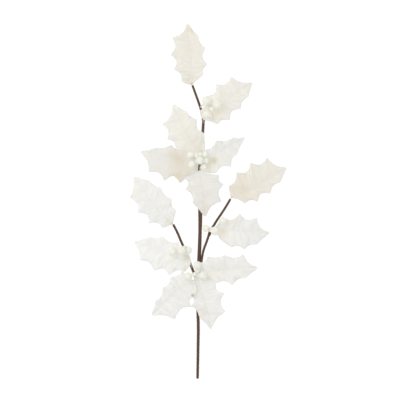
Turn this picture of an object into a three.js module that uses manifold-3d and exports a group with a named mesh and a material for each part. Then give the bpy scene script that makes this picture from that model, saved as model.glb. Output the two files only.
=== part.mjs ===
// An artificial white holly branch lying on its back: thirteen die-cut fabric leaves on wires, five
// bunches of matte berries and three wire stems wound in brown paper tape.
// Millimetres. X runs to the right, Y towards the top leaf and Z up from the surface it lies on.
import * as THREE from 'three';
import { mergeVertices } from 'three/addons/utils/BufferGeometryUtils.js';
import Module from 'manifold-3d';

const wasm = await Module();
wasm.setup();

// Driving sizes
const LENGTH = 711;
const WIDTH = 316;
const CLEARANCE = 0.4;
const BLADE_THICKNESS = 0.9;
const GLUE_GAP = 0.5;
const LEAF_WIRE_RADIUS = 0.6;
const RESTING = BLADE_THICKNESS / 2;
const MAIN_CORE_RADIUS = 1.0;
const SIDE_CORE_RADIUS = 0.7;
const BERRY_STALK_RADIUS = 0.8;
const BUNCH_STALK_RADIUS = 1.2;

// Colours and finishes
const LEAF_CLOTH = { color: '#efece3', roughness: 0.9, metalness: 0 };
const BERRY_FOAM = { color: '#f0efdf', roughness: 0.7, metalness: 0 };
const STEM_TAPE = { color: '#6b5247', roughness: 0.85, metalness: 0 };
const LEAF_WIRE = { color: '#e4decc', roughness: 0.9, metalness: 0 };
const BARE_WIRE = { color: '#8d8e90', roughness: 0.4, metalness: 0.9 };

const spray = new THREE.Group();

function addPiece(name, geometry, finish) {
  const piece = new THREE.Mesh(geometry, new THREE.MeshStandardMaterial(finish));
  piece.name = name;
  spray.add(piece);
}

// Solids are joined and cut as manifolds, and come back as three.js geometry.
function toSolid(geometry) {
  const bare = geometry.clone();
  bare.deleteAttribute('normal');
  bare.deleteAttribute('uv');
  const merged = mergeVertices(bare);
  const vertProperties = new Float32Array(merged.getAttribute('position').array);
  const triVerts = new Uint32Array(merged.getIndex().array);
  return new wasm.Manifold(new wasm.Mesh({ numProp: 3, vertProperties, triVerts }));
}

function toGeometry(solid) {
  const { vertProperties, triVerts } = solid.getMesh();
  const geometry = new THREE.BufferGeometry();
  geometry.setAttribute('position', new THREE.BufferAttribute(vertProperties, 3));
  geometry.setIndex(new THREE.BufferAttribute(triVerts, 1));
  geometry.computeVertexNormals();
  return geometry;
}

function joinAll(geometries) {
  return geometries.map(toSolid).reduce((joined, next) => joined.add(next));
}

function curveThrough(points) {
  return new THREE.CatmullRomCurve3(points.map(([x, y, z]) => new THREE.Vector3(x, y, z)));
}

// A closed tube whose radius follows radiusAt, from 0 at its start to 1 at its end. It can be made
// longer at both ends, straight on from there.
function tubeAlong(curve, radiusAt, sides, steps, longer = 0) {
  const corners = [];
  for (let i = 0; i < sides; i += 1) {
    const angle = (2 * Math.PI * (i + 0.5)) / sides;
    corners.push(new THREE.Vector2(Math.cos(angle), Math.sin(angle)));
  }
  const section = new THREE.Shape(corners);
  const tube = new THREE.ExtrudeGeometry(section, { steps, extrudePath: curve });
  const centres = curve.getSpacedPoints(steps);
  const moved = centres.map((centre) => centre.clone());
  moved[0].add(centres[0].clone().sub(centres[1]).setLength(longer));
  moved[steps].add(centres[steps].clone().sub(centres[steps - 1]).setLength(longer));
  const position = tube.getAttribute('position');
  const corner = new THREE.Vector3();
  for (let i = 0; i < position.count; i += 1) {
    corner.fromBufferAttribute(position, i);
    const distances = centres.map((centre) => centre.distanceTo(corner));
    const ring = distances.indexOf(Math.min(...distances));
    corner.sub(centres[ring]).multiplyScalar(radiusAt(ring / steps)).add(moved[ring]);
    position.setXYZ(i, corner.x, corner.y, corner.z);
  }
  return tube;
}

// The leaves. root is where the blade starts, and heading its direction in degrees from +X. left and
// right list the spines of each margin, from the root, as distance along the blade and out from its
// midrib, and a third number is the depth of the scallop before that spine, or below zero how far the
// margin swells out there. leftTipDepth is the depth of the last scallop on the left, where it isn't
// the usual one. tip is the midrib's height at the tip, crest how far it arches above the straight
// line, and bow how far it swings to the left. fold lifts the margins in degrees, curl lowers them
// again, twist turns the tip and ripple lifts each spine. bound is where the wire starts, inside the
// stem's tape.
const LEAVES = {
  top_leaf: {
    root: [-33.8, 233.7, 22], heading: 94, length: 122.8, tip: 12, crest: 9, bow: -3,
    left: [[8, 20, -0.1], [32, 34.2, 0.22], [62, 39.2, 0.3], [96, 33.2]], leftTipDepth: 0.17,
    right: [[18, 23.6, 0], [38, 33.2, 0.16], [70, 32.2], [96, 19.2, 0.13]],
    fold: 14, curl: 6, twist: -6, ripple: 2.5, bound: [-28.8, 221.5, 19.8],
  },
  upper_right_leaf: {
    root: [-11.2, 162.9, 21.8], heading: 37.4, length: 124, tip: RESTING, crest: 8, bow: 2,
    left: [[6, 19.1, -0.08], [32.5, 36, 0.2], [63.8, 41.5, 0.32], [97.6, 35.6]], leftTipDepth: 0.14,
    right: [[17.1, 24.4, 0.06], [41.7, 32.8, 0.2], [73, 27.5, 0.3], [99.6, 17.9, 0.18]],
    fold: 9, curl: 8, twist: 8, ripple: 3, bound: [-11.3, 157.4, 18.9],
  },
  upper_cluster_back_leaf: {
    root: [-18.8, 96.3, 18.4], heading: 118, length: 111.5, tip: 15, crest: 9, bow: 3,
    left: [[-9, 6], [29, 39.2, 0], [55, 44.2, 0.3], [86, 38.2]], leftTipDepth: 0.14,
    right: [[-3, 11], [32, 27.4, 0], [62, 28.2, 0.28], [85, 17.2, 0.15]],
    fold: 6, curl: 8, twist: 5, ripple: 3, bound: [-17.2, 88, 16.2],
  },
  upper_cluster_left_leaf: {
    root: [-21.6, 72.1, 18.5], heading: 166.5, length: 118.4, tip: RESTING, crest: 16, bow: -3,
    left: [[-2.4, 12], [27, 43.2, 0.05], [58, 46.2, 0.4], [93, 36.2]], leftTipDepth: 0.15,
    right: [[3, 12], [34, 25.2, 0], [62, 28.2, 0.2], [91, 15.2, 0.12]],
    fold: 10, curl: 9, twist: -6, ripple: 3, bound: [-18.6, 77.5, 15.4],
  },
  upper_cluster_right_leaf: {
    root: [-14.9, 75.2, 18], heading: 31.3, length: 101.4, tip: RESTING, crest: 13, bow: 3,
    left: [[20, 21.2], [50, 25.2, 0.2], [83, 12.2, 0.13]], leftTipDepth: 0.1,
    right: [[-9.2, 10.7], [16, 31.2, -0.04], [48, 36.2], [71, 20.2, 0.2]],
    fold: 14, curl: 7, twist: -8, ripple: 3, bound: [-17.6, 72.6, 14.6],
  },
  upper_cluster_front_leaf: {
    root: [-18.8, 62.6, 22.6], heading: -83, length: 93.3, tip: 22, crest: 10, bow: 2,
    left: [[14.3, 38.5, 0.06], [33.3, 45.2, 0.3], [67.3, 36.2]], leftTipDepth: 0.17,
    right: [[11.3, 32.2, 0.03], [34.3, 32.2, 0.32], [63.3, 21.2, 0.2]],
    fold: 10, curl: 9, twist: 6, ripple: 3, bound: [-19.2, 71.5, 15.8],
  },
  left_mid_leaf: {
    root: [-72.8, -44.7, 16.4], heading: 129, length: 122, tip: RESTING, crest: 12, bow: 3,
    left: [[6, 20.2], [30, 35.2, 0.2], [60, 39.2, 0.3], [94, 33.4, 0.2]], leftTipDepth: 0.08,
    right: [[17, 23.5], [40, 31.2, 0.2], [71, 28, 0.17], [96, 19.5, 0.13]],
    fold: 13, curl: 7, twist: 6, ripple: 2.5, bound: [-66.4, -55, 14.2],
  },
  right_mid_leaf: {
    root: [44.2, 7.3, 19.4], heading: 28.4, length: 127, tip: RESTING, crest: 13, bow: -4,
    left: [[7, 23.2], [34, 40.2, 0.2], [68, 44.2, 0.33], [102, 37.2, 0.29]], leftTipDepth: 0.15,
    right: [[19, 23.2, 0.1], [43, 32.2, 0.22], [73, 30.2, 0.33], [102, 19.2, 0.2]],
    fold: 12, curl: 8, twist: -7, ripple: 3, bound: [37.8, -4.5, 17.1],
  },
  right_lower_leaf: {
    root: [9.2, -59.7, 16], heading: -1.5, length: 112.5, tip: RESTING, crest: 12, bow: 2,
    left: [[17, 31.2], [51, 38.2, 0.31], [86, 31.2, 0.28]], leftTipDepth: 0.2,
    right: [[14, 16.5, 0.1], [36, 31.2, 0.03], [62, 34.2, 0.2], [87, 24.2, 0.15]],
    fold: 12, curl: 8, twist: 4, ripple: 3, bound: [4.6, -60, 12.6],
  },
  left_lower_leaf: {
    root: [-36.2, -125.1, 15], heading: 158.8, length: 122.5, tip: RESTING, crest: 13, bow: -2,
    left: [[6, 19], [32, 37, 0.2], [63, 39.2, 0.33], [97, 29.2, 0.2]], leftTipDepth: 0.11,
    right: [[9, 15.2, -0.08], [39, 33.2, 0.2], [72, 32.2, 0.2], [96, 21.2, 0.12]],
    fold: 12, curl: 8, twist: -5, ripple: 3, bound: [-34.2, -133, 8.3],
  },
  lower_cluster_right_leaf: {
    root: [-19.8, -142.7, 17], heading: 4.9, length: 118.5, tip: RESTING, crest: 13, bow: 2,
    left: [[0, 22], [21, 32.2, 0.25], [54, 32.2, 0.12], [92, 30.2, 0.17]], leftTipDepth: 0.16,
    right: [[5, 17], [34, 23.2, 0.2], [64, 30.2, 0.2], [92, 18.2, 0.16]],
    fold: 12, curl: 8, twist: 6, ripple: 3, bound: [-18, -136.5, 8.2],
  },
  lower_cluster_left_leaf: {
    root: [-32.8, -157.7, 10], heading: -139.1, length: 107.4, tip: RESTING, crest: 13, bow: -3,
    left: [[4.2, 14], [19.3, 25.3, 0.05], [32, 43.1, 0.45], [78.4, 36.2]], leftTipDepth: 0.12,
    right: [[3.7, 28], [28.6, 34.6, 0.14], [54.7, 28.9, 0.22], [81.8, 18.2, 0.2]],
    fold: 13, curl: 8, twist: -5, ripple: 3, bound: [-23.8, -159, 6],
  },
  lower_cluster_front_leaf: {
    root: [-23.8, -145, 13], heading: -75.6, length: 114, tip: 16, crest: 11, bow: 3,
    left: [[2, 7], [23, 34.5, 0], [50, 44.2, 0.33], [87, 37.2]],
    right: [[2, 6], [41, 20, 0], [57.5, 26, 0.22], [86, 16.2, 0.1]],
    fold: 9, curl: 8, twist: -6, ripple: 3, bound: [-23.4, -137, 7.6],
  },
};

// Shape rules that all the leaves share. A margin has MARGIN_STEPS stretches, an equal share of them
// between one spine and the next, and each scallop is as deep as a share of its own length. The margin
// leaves the root straight where its first spine gives no depth, and ends in a blunt tip.
const MARGIN_STEPS = 20;
const BLADE_COLUMNS = 2;
const SCALLOP_DEPTH = 0.25;
const LEFT_TIP_DEPTH = 0.13;
const RIGHT_TIP_DEPTH = 0.04;
const TIP_HALF_WIDTH = 2;
const VEIN_SWEEP = 1.5;
const WIRE_ROWS = [0, 4, 7, 10, 13, 16];
const HALF_WIDTH = 40;

// One margin from the root to the tip, as distances along and out, on one side of the midrib.
function leafMargin(spines, length, tipDepth) {
  const corners = [[0, 0, 0], ...spines, [length, TIP_HALF_WIDTH, tipDepth]];
  const stretches = corners.length - 1;
  const steps = MARGIN_STEPS / stretches;
  const margin = [];
  for (let i = 0; i < stretches; i += 1) {
    const [along, out] = corners[i];
    const run = corners[i + 1][0] - along;
    const reach = corners[i + 1][1] - out;
    const usual = i === 0 ? 0 : SCALLOP_DEPTH;
    const depth = corners[i + 1][2] ?? usual;
    for (let k = 0; k < steps; k += 1) {
      const share = k / steps;
      const dip = depth * Math.sin(Math.PI * share);
      margin.push([along + run * share + reach * dip, out + reach * share - run * dip]);
    }
  }
  return margin;
}

// A point above the straight line from root to tip, from its distance along it and out to the left. A
// lobe that reaches back past the root keeps the root's height.
function onLeaf(leaf, along, out, lift = 0) {
  const share = along / leaf.length;
  const arched = Math.max(share, 0);
  const arch = 4 * leaf.crest * arched * (1 - arched);
  const height = leaf.root[2] + (leaf.tip - leaf.root[2]) * arched + arch + lift;
  const heading = THREE.MathUtils.degToRad(leaf.heading);
  return new THREE.Vector3(
    leaf.root[0] + along * Math.cos(heading) - out * Math.sin(heading),
    leaf.root[1] + along * Math.sin(heading) + out * Math.cos(heading),
    height,
  );
}

// How far the midrib swings to the left of that line.
function midribSwing(leaf, along) {
  const share = along / leaf.length;
  return 4 * leaf.bow * share * (1 - share);
}

// How far the cloth stands above its midrib, at a share of the way to the margin.
function clothLift(leaf, along, out, share, row, spineCount) {
  const tan = (degrees) => Math.tan(THREE.MathUtils.degToRad(degrees));
  const fold = Math.abs(out) * tan(leaf.fold);
  const curl = leaf.curl * (out / HALF_WIDTH) ** 2;
  const turn = out * tan(leaf.twist) * (along / leaf.length);
  const waves = Math.cos(2 * Math.PI * (spineCount + 1) * row);
  const ripple = leaf.ripple * share ** 2 * waves * Math.sin(Math.PI * row);
  return fold - curl + turn + ripple;
}

function leafBlade(leaf) {
  const margins = [
    leafMargin(leaf.left, leaf.length, leaf.leftTipDepth ?? LEFT_TIP_DEPTH),
    leafMargin(leaf.right, leaf.length, RIGHT_TIP_DEPTH),
  ];
  const spineCounts = [leaf.left.length, leaf.right.length];
  const middle = [];
  const indices = [];
  const rootIndex = 0;
  middle.push(onLeaf(leaf, 0, 0));
  const columns = 2 * BLADE_COLUMNS + 1;
  for (let row = 1; row < MARGIN_STEPS; row += 1) {
    const way = row / MARGIN_STEPS;
    const rib = leaf.length * way ** VEIN_SWEEP;
    for (let column = -BLADE_COLUMNS; column <= BLADE_COLUMNS; column += 1) {
      const side = column < 0 ? 1 : -1;
      const half = column < 0 ? 0 : 1;
      const share = Math.abs(column) / BLADE_COLUMNS;
      const [edgeAlong, edgeOut] = margins[half][row];
      const along = rib + (edgeAlong - rib) * share;
      const out = side * edgeOut * share;
      const lift = clothLift(leaf, along, out, share, way, spineCounts[half]);
      const swing = midribSwing(leaf, rib) * (1 - share);
      middle.push(onLeaf(leaf, along, out + swing, lift));
    }
  }
  const tipIndex = middle.length;
  middle.push(onLeaf(leaf, leaf.length, 0));
  const at = (row, column) => {
    if (row === 0) return rootIndex;
    if (row === MARGIN_STEPS) return tipIndex;
    return 1 + (row - 1) * columns + column;
  };
  for (let row = 0; row < MARGIN_STEPS; row += 1) {
    for (let column = 0; column < columns - 1; column += 1) {
      const corners = [
        at(row, column), at(row, column + 1), at(row + 1, column + 1), at(row + 1, column),
      ];
      const towardsRight = column >= BLADE_COLUMNS;
      const first = towardsRight ? [0, 1, 2, 0, 2, 3] : [0, 1, 3, 1, 2, 3];
      for (let i = 0; i < 6; i += 3) {
        const [a, b, c] = first.slice(i, i + 3).map((k) => corners[k]);
        if (a !== b && b !== c && c !== a) indices.push(a, b, c);
      }
    }
  }
  return thicken(middle, indices, at, columns);
}

// Gives a sheet its thickness: both faces split alike, and a rim along the margins.
function thicken(middle, indices, at, columns) {
  const sheet = new THREE.BufferGeometry().setFromPoints(middle);
  sheet.setIndex(indices);
  sheet.computeVertexNormals();
  const normals = sheet.getAttribute('normal');
  const count = middle.length;
  const points = [];
  for (const side of [0.5, -0.5]) {
    middle.forEach((point, i) => {
      const normal = new THREE.Vector3().fromBufferAttribute(normals, i);
      points.push(point.clone().addScaledVector(normal, side * BLADE_THICKNESS));
    });
  }
  const faces = [...indices];
  for (let i = 0; i < indices.length; i += 3) {
    faces.push(indices[i] + count, indices[i + 2] + count, indices[i + 1] + count);
  }
  for (let row = 0; row < MARGIN_STEPS; row += 1) {
    const [left, nextLeft] = [at(row, 0), at(row + 1, 0)];
    const [right, nextRight] = [at(row, columns - 1), at(row + 1, columns - 1)];
    faces.push(left, nextLeft, nextLeft + count, left, nextLeft + count, left + count);
    faces.push(right, nextRight + count, nextRight, right, right + count, nextRight + count);
  }
  const blade = new THREE.BufferGeometry().setFromPoints(points);
  blade.setIndex(faces);
  blade.computeVertexNormals();
  return blade;
}

// The wire starts inside the stem's tape and runs under the midrib, glued along it.
function leafWirePath(leaf) {
  const under = -(BLADE_THICKNESS / 2 + GLUE_GAP + LEAF_WIRE_RADIUS);
  const points = [leaf.bound];
  for (const row of WIRE_ROWS) {
    const share = (row / MARGIN_STEPS) ** VEIN_SWEEP;
    const along = leaf.length * share;
    const steep = (leaf.tip - leaf.root[2] + 4 * leaf.crest * (1 - 2 * share)) / leaf.length;
    const swing = midribSwing(leaf, along);
    points.push(onLeaf(leaf, along, swing, under * Math.hypot(1, steep)).toArray());
  }
  return points;
}

// The stems. Each path runs from the cut or bound end upwards, with radii shared out evenly along it.
// bindings are where the tape is wound thicker round what is bound in, each with its own radius.
const STEMS = {
  main_stem: {
    path: [
      [-22.7, -355, 2.6], [-21.8, -300, 3.1], [-21.2, -250, 3.7], [-22.2, -215, 4.1], [-21.5, -180, 4.6],
      [-20.6, -142, 5], [-19.4, -110, 5.6], [-18.1, -75, 7], [-17.3, -35, 9], [-17.5, 10, 11],
      [-19.2, 45, 12], [-19.7, 68, 12.8], [-15.5, 95, 13.6], [-13.3, 125, 14.8], [-11.4, 153, 16],
      [-11.2, 166, 16.6], [-15.8, 184, 17.4], [-21.9, 202, 18.4], [-27.7, 218, 19.4], [-32.9, 232.4, 20.7],
    ],
    radii: [2.6, 2.8, 3, 3.1, 3.8, 3.7, 3.5, 4.4, 2.6, 2.4, 2.9, 2.4, 2.2],
    steps: 38,
    coreSteps: 26,
    coreRadius: MAIN_CORE_RADIUS,
    coreReach: 0.95,
    bindings: [
      { path: [[-21.2, -165, 4.8], [-20.6, -143, 4.8], [-19.8, -121, 5.1]], radius: 5.5 },
      { path: [[-24.1, -154, 5.1], [-27.5, -146, 5.5]], radius: 3.4 },
      { path: [[-16, -134, 5.3], [-14.6, -120, 6]], radius: 3.2 },
      { path: [[-19.6, 69, 12.8], [-18, 80, 13.2], [-16.2, 91, 13.5]], radius: 4.5 },
      { path: [[-11.4, 158, 16.3], [-11.2, 166, 16.6], [-13.2, 175, 17]], radius: 3.2 },
    ],
  },
  left_side_stem: {
    path: [
      [-25.2, -151.5, 5.2], [-30.6, -141, 5.9], [-36.2, -127, 7], [-41.4, -112, 8.6], [-47.6, -97, 10.4],
      [-55, -81, 12], [-63, -62, 13.6], [-71.3, -45.8, 14.9],
    ],
    radii: [2.6, 2.5, 2.4, 2.3],
    steps: 12,
    coreSteps: 9,
    coreRadius: SIDE_CORE_RADIUS,
    coreReach: 0.86,
    bindings: [
      { path: [[-37.9, -122, 7.4], [-41.8, -111, 8.7], [-46, -100.5, 10]], radius: 3.3 },
    ],
  },
  right_side_stem: {
    path: [
      [-15.8, -132, 5.4], [-13.8, -113, 7.6], [-10.6, -97, 8.6], [-4.8, -81, 9.6], [1.4, -64, 11],
      [13.4, -41.5, 13.4], [24, -25.5, 15], [34.4, -9.5, 16.6], [42.9, 5.2, 18],
    ],
    radii: [2.2, 2.3, 2.4, 2.3, 2.2],
    steps: 14,
    coreSteps: 11,
    coreRadius: SIDE_CORE_RADIUS,
    coreReach: 0.9,
    bindings: [
      { path: [[-0.4, -69, 10.6], [4.6, -58, 11.6], [9.6, -48.5, 12.7]], radius: 3.5 },
    ],
  },
};

// The bunches. A short stalk rises from inside the tape to a fork, and from there a thin stalk goes to
// each berry. Berries are given by their centre and radius. One thin stalk in the lower cluster has
// lost its berry, and hooks over to the bead that held it.
const BUNCHES = {
  upper_right_berries: {
    stalk: [[-16.8, 188.5, 20.6], [-15.4, 190.6, 25.4], [-7, 194, 28.4], [1, 189, 30]],
    berries: [
      [-4.8, 200.5, 36, 9.4], [16, 192.9, 36, 9.6], [-3.8, 173.9, 35, 8.2], [6, 184.5, 38, 5.4],
    ],
  },
  upper_cluster_berries: {
    stalk: [[-17.6, 80, 16.4], [-18.2, 81, 20], [-19, 82, 25]],
    berries: [
      [-36.6, 93.3, 37, 6.6], [-34.4, 74.5, 34, 7.4], [-18.2, 82.2, 38, 8.2], [-7.6, 94.3, 33, 6],
      [-6.4, 81.2, 30, 6.2], [-10.2, 69.4, 31, 6.2], [-26.2, 80.2, 29, 4.8], [-25.8, 91.4, 31, 5.6],
      [-17.2, 93.6, 29, 5],
    ],
  },
  right_side_berries: {
    stalk: [[4, -57.5, 14.4], [4.8, -57.5, 18], [7, -58.2, 21]],
    berries: [
      [-7, -53.2, 27, 7.8], [12.2, -58.4, 32, 9], [27.4, -38.4, 32.5, 6.8], [3, -55.4, 25.5, 5],
    ],
  },
  left_side_berries: {
    stalk: [[-44.8, -103.4, 12], [-44.6, -101.8, 17], [-48.4, -98.8, 27]],
    berries: [
      [-42, -97, 30, 8.2], [-54.2, -97.8, 36, 9], [-73, -99.4, 36, 8.8], [-49, -92.8, 30, 5.4],
    ],
  },
  lower_cluster_berries: {
    stalk: [[-22.6, -133, 8.2], [-23.8, -135.5, 14], [-24.6, -139, 20]],
    berries: [
      [-23.4, -126.4, 29.5, 7.8], [-42.2, -149.6, 28, 8.4], [-11.6, -147.3, 31, 8.6],
      [-22.6, -138.2, 24.5, 4.8], [-28.4, -145.8, 23.5, 5], [-20.8, -146.6, 24, 4.2],
    ],
    bareStalk: [
      [-24.6, -139, 20], [-28, -147, 25], [-28.6, -155.7, 27], [-26, -164.7, 29], [-23.8, -173.7, 31],
      [-23.6, -180.7, 33], [-27, -186.8, 34], [-32.2, -186.7, 32.5],
    ],
  },
};
const BEAD_RADIUS = 3;
const KNOT_RADIUS = 1.8;

const WIRE_SIDES = 6;
const WIRE_STEPS = 11;
const STALK_SIDES = 5;
const STALK_STEPS = 3;
const TUBE_SIDES = 9;
const BINDING_STEPS = 4;
const BINDING_TAPER = 0.35;
const BERRY_SIDES = 8;
const BERRY_RINGS = 6;
const BORE_OVERRUN = 1;

function radiusBetween(radii) {
  return (share) => {
    const place = share * (radii.length - 1);
    const below = Math.min(Math.floor(place), radii.length - 2);
    return THREE.MathUtils.lerp(radii[below], radii[below + 1], place - below);
  };
}

// The space that a wire, stalk or stem takes up where it is bound in: wider than itself by the
// clearance, and longer at both ends.
function spaceRound(curve, radiusAt, sides, steps, longer = CLEARANCE) {
  const wider = (share) => radiusAt(share) + CLEARANCE;
  return toSolid(tubeAlong(curve, wider, sides, steps, longer));
}

const sockets = [];
for (const [name, leaf] of Object.entries(LEAVES)) {
  const curve = curveThrough(leafWirePath(leaf));
  const radius = () => LEAF_WIRE_RADIUS;
  addPiece(name, leafBlade(leaf), LEAF_CLOTH);
  addPiece(`${name}_wire`, tubeAlong(curve, radius, WIRE_SIDES, WIRE_STEPS), LEAF_WIRE);
  sockets.push(spaceRound(curve, radius, WIRE_SIDES, WIRE_STEPS));
}

// A berry and its own thin stalk, which comes to it from below.
function berryWithStalk(fork, [x, y, z, radius]) {
  const berry = new THREE.SphereGeometry(radius, BERRY_SIDES, BERRY_RINGS);
  berry.rotateX(Math.PI / 2).translate(x, y, z);
  const under = [(fork[0] + 2 * x) / 3, (fork[1] + 2 * y) / 3, (fork[2] + 2 * z) / 3 - radius / 3];
  const path = curveThrough([fork, under, [x, y, z]]);
  return [berry, tubeAlong(path, () => BERRY_STALK_RADIUS, STALK_SIDES, STALK_STEPS)];
}

for (const [name, bunch] of Object.entries(BUNCHES)) {
  const radius = () => BUNCH_STALK_RADIUS;
  const curve = curveThrough(bunch.stalk);
  const fork = bunch.stalk.at(-1);
  const pieces = [tubeAlong(curve, radius, WIRE_SIDES, STALK_STEPS)];
  pieces.push(new THREE.IcosahedronGeometry(KNOT_RADIUS, 1).translate(...fork));
  for (const berry of bunch.berries) pieces.push(...berryWithStalk(fork, berry));
  if (bunch.bareStalk) {
    const bare = curveThrough(bunch.bareStalk);
    pieces.push(tubeAlong(bare, () => BERRY_STALK_RADIUS, STALK_SIDES, WIRE_STEPS));
    pieces.push(new THREE.IcosahedronGeometry(BEAD_RADIUS, 1).translate(...bunch.bareStalk.at(-1)));
  }
  addPiece(name, toGeometry(joinAll(pieces)), BERRY_FOAM);
  sockets.push(spaceRound(curve, radius, WIRE_SIDES, STALK_STEPS));
}

// The core wire follows its stem as far as coreReach, in a bore that is open at the stem's lower end.
function coreCurve(stem) {
  const path = curveThrough(stem.path);
  const points = [];
  for (let i = 0; i <= stem.coreSteps; i += 1) {
    points.push(path.getPointAt((stem.coreReach * i) / stem.coreSteps));
  }
  return new THREE.CatmullRomCurve3(points);
}

function windTape(stem) {
  const tubes = [tubeAlong(curveThrough(stem.path), radiusBetween(stem.radii), TUBE_SIDES, stem.steps)];
  for (const { path, radius } of stem.bindings) {
    const swell = (share) => radius * (1 - BINDING_TAPER * (2 * share - 1) ** 2);
    tubes.push(tubeAlong(curveThrough(path), swell, TUBE_SIDES, BINDING_STEPS));
  }
  return joinAll(tubes);
}

// Below the surface that the branch lies on, the tape is pressed flat.
const BELOW_SURFACE = 20;
const underSurface = new THREE.BoxGeometry(WIDTH, LENGTH, BELOW_SURFACE);
underSurface.translate(0, 0, -BELOW_SURFACE / 2);

const sideSockets = ['left_side_stem', 'right_side_stem'].map((name) => {
  const stem = STEMS[name];
  return spaceRound(curveThrough(stem.path), radiusBetween(stem.radii), TUBE_SIDES, stem.steps);
});

for (const [name, stem] of Object.entries(STEMS)) {
  const curve = coreCurve(stem);
  const radius = () => stem.coreRadius;
  const bore = spaceRound(curve, radius, WIRE_SIDES, stem.coreSteps, BORE_OVERRUN);
  let tape = windTape(stem).subtract(bore).subtract(toSolid(underSurface));
  for (const socket of sockets) tape = tape.subtract(socket);
  if (name === 'main_stem') {
    for (const socket of sideSockets) tape = tape.subtract(socket);
  }
  addPiece(name, toGeometry(tape), STEM_TAPE);
  addPiece(`${name}_core_wire`, tubeAlong(curve, radius, WIRE_SIDES, stem.coreSteps), BARE_WIRE);
}

export default spray;
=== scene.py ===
import math

import bpy
import numpy as np
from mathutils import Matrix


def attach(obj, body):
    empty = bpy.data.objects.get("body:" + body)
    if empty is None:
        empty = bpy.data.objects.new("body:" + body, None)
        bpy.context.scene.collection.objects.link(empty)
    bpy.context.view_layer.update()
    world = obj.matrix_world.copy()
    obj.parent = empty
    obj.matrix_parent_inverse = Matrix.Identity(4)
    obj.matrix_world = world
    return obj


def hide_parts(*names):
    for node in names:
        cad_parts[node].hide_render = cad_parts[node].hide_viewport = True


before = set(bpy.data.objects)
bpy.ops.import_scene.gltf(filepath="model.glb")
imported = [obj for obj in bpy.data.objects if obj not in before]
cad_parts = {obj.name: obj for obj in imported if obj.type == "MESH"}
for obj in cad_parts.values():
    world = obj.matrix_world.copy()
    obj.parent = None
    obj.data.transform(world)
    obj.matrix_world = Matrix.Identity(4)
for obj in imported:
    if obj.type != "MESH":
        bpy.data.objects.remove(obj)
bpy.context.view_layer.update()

MM = 0.001

# Core wires
# A drawn steel wire runs up the middle of each stem and gives it its bend. It is wound over with
# tape for its whole length, so only the sheared end at the foot of the main stem shows.

# Each stem in mm. path runs upwards from its cut or bound end, and the tape's radii are shared out
# evenly along it. windings are where more tape goes round what is bound in, as from y, to y and
# radius. core_radius is the wire's, and core_reach is the share of the path that it runs.
STEMS = {
    "main_stem": {
        "path": [
            (-22.7, -355, 2.6), (-21.8, -300, 3.1), (-21.2, -250, 3.7), (-22.2, -215, 4.1),
            (-21.5, -180, 4.6), (-20.6, -142, 5), (-19.4, -110, 5.6), (-18.1, -75, 7),
            (-17.3, -35, 9), (-17.5, 10, 11), (-19.2, 45, 12), (-19.7, 68, 12.8),
            (-15.5, 95, 13.6), (-13.3, 125, 14.8), (-11.4, 153, 16), (-11.2, 166, 16.6),
            (-15.8, 184, 17.4), (-21.9, 202, 18.4), (-27.7, 218, 19.4), (-32.9, 232.4, 20.7),
        ],
        "radii": [2.6, 2.8, 3, 3.1, 3.8, 3.7, 3.5, 4.4, 2.6, 2.4, 2.9, 2.4, 2.2],
        "windings": [(-165, -121, 5.5), (72, 92, 4.1), (158, 175, 3.2)],
        "core_radius": 1.0, "core_reach": 0.95,
    },
    "left_side_stem": {
        "path": [
            (-25.2, -151.5, 5.2), (-30.6, -141, 5.9), (-36.2, -127, 7), (-41.4, -112, 8.6),
            (-47.6, -97, 10.4), (-55, -81, 12), (-63, -62, 13.6), (-71.3, -45.8, 14.9),
        ],
        "radii": [2.6, 2.5, 2.4, 2.3],
        "windings": [(-158, -144, 3.4), (-122, -100.5, 3.3)],
        "core_radius": 0.7, "core_reach": 0.86,
    },
    "right_side_stem": {
        "path": [
            (-15.8, -132, 5.4), (-13.8, -113, 7.6), (-10.6, -97, 8.6), (-4.8, -81, 9.6),
            (1.4, -64, 11), (13.4, -41.5, 13.4), (24, -25.5, 15), (34.4, -9.5, 16.6),
            (42.9, 5.2, 18),
        ],
        "radii": [2.2, 2.3, 2.4, 2.3, 2.2],
        "windings": [(-138, -119, 3.2), (-69, -48.5, 3.5)],
        "core_radius": 0.7, "core_reach": 0.9,
    },
}
WIRE_SPACING = 3 * MM
WIRE_SIDES = 16
CURVE_STEPS = 40
DRAWING_MARKS = (4000, 200, 4000)


def smooth_path(points, spacing):
    """A centripetal Catmull-Rom curve through points in mm, in even steps, in metres."""
    points = np.array(points, float) * MM
    ends = [2 * points[0] - points[1], *points, 2 * points[-1] - points[-2]]
    pieces = []
    for a, b, c, d in zip(ends, ends[1:], ends[2:], ends[3:]):
        before, here, after = (math.dist(*pair) ** 0.5 for pair in ((a, b), (b, c), (c, d)))
        leave = ((b - a) / before - (c - a) / (before + here) + (c - b) / here) * here
        arrive = ((c - b) / here - (d - b) / (here + after) + (d - c) / after) * here
        t = np.linspace(0, 1, CURVE_STEPS, endpoint=False)[:, None]
        square = (3 * (c - b) - 2 * leave - arrive) * t**2
        cube = (2 * (b - c) + leave + arrive) * t**3
        pieces.append(b + leave * t + square + cube)
    fine = np.vstack([*pieces, points[-1:]])
    far = np.concatenate([[0], np.cumsum(np.linalg.norm(np.diff(fine, axis=0), axis=1))])
    steps = np.linspace(0, far[-1], max(3, round(far[-1] / spacing) + 1))
    return np.column_stack([np.interp(steps, far, fine[:, k]) for k in range(3)])


def put_in_scene(name, data):
    """A new object in the scene."""
    placed = bpy.data.objects.new(name, data)
    bpy.context.scene.collection.objects.link(placed)
    return placed


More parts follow.
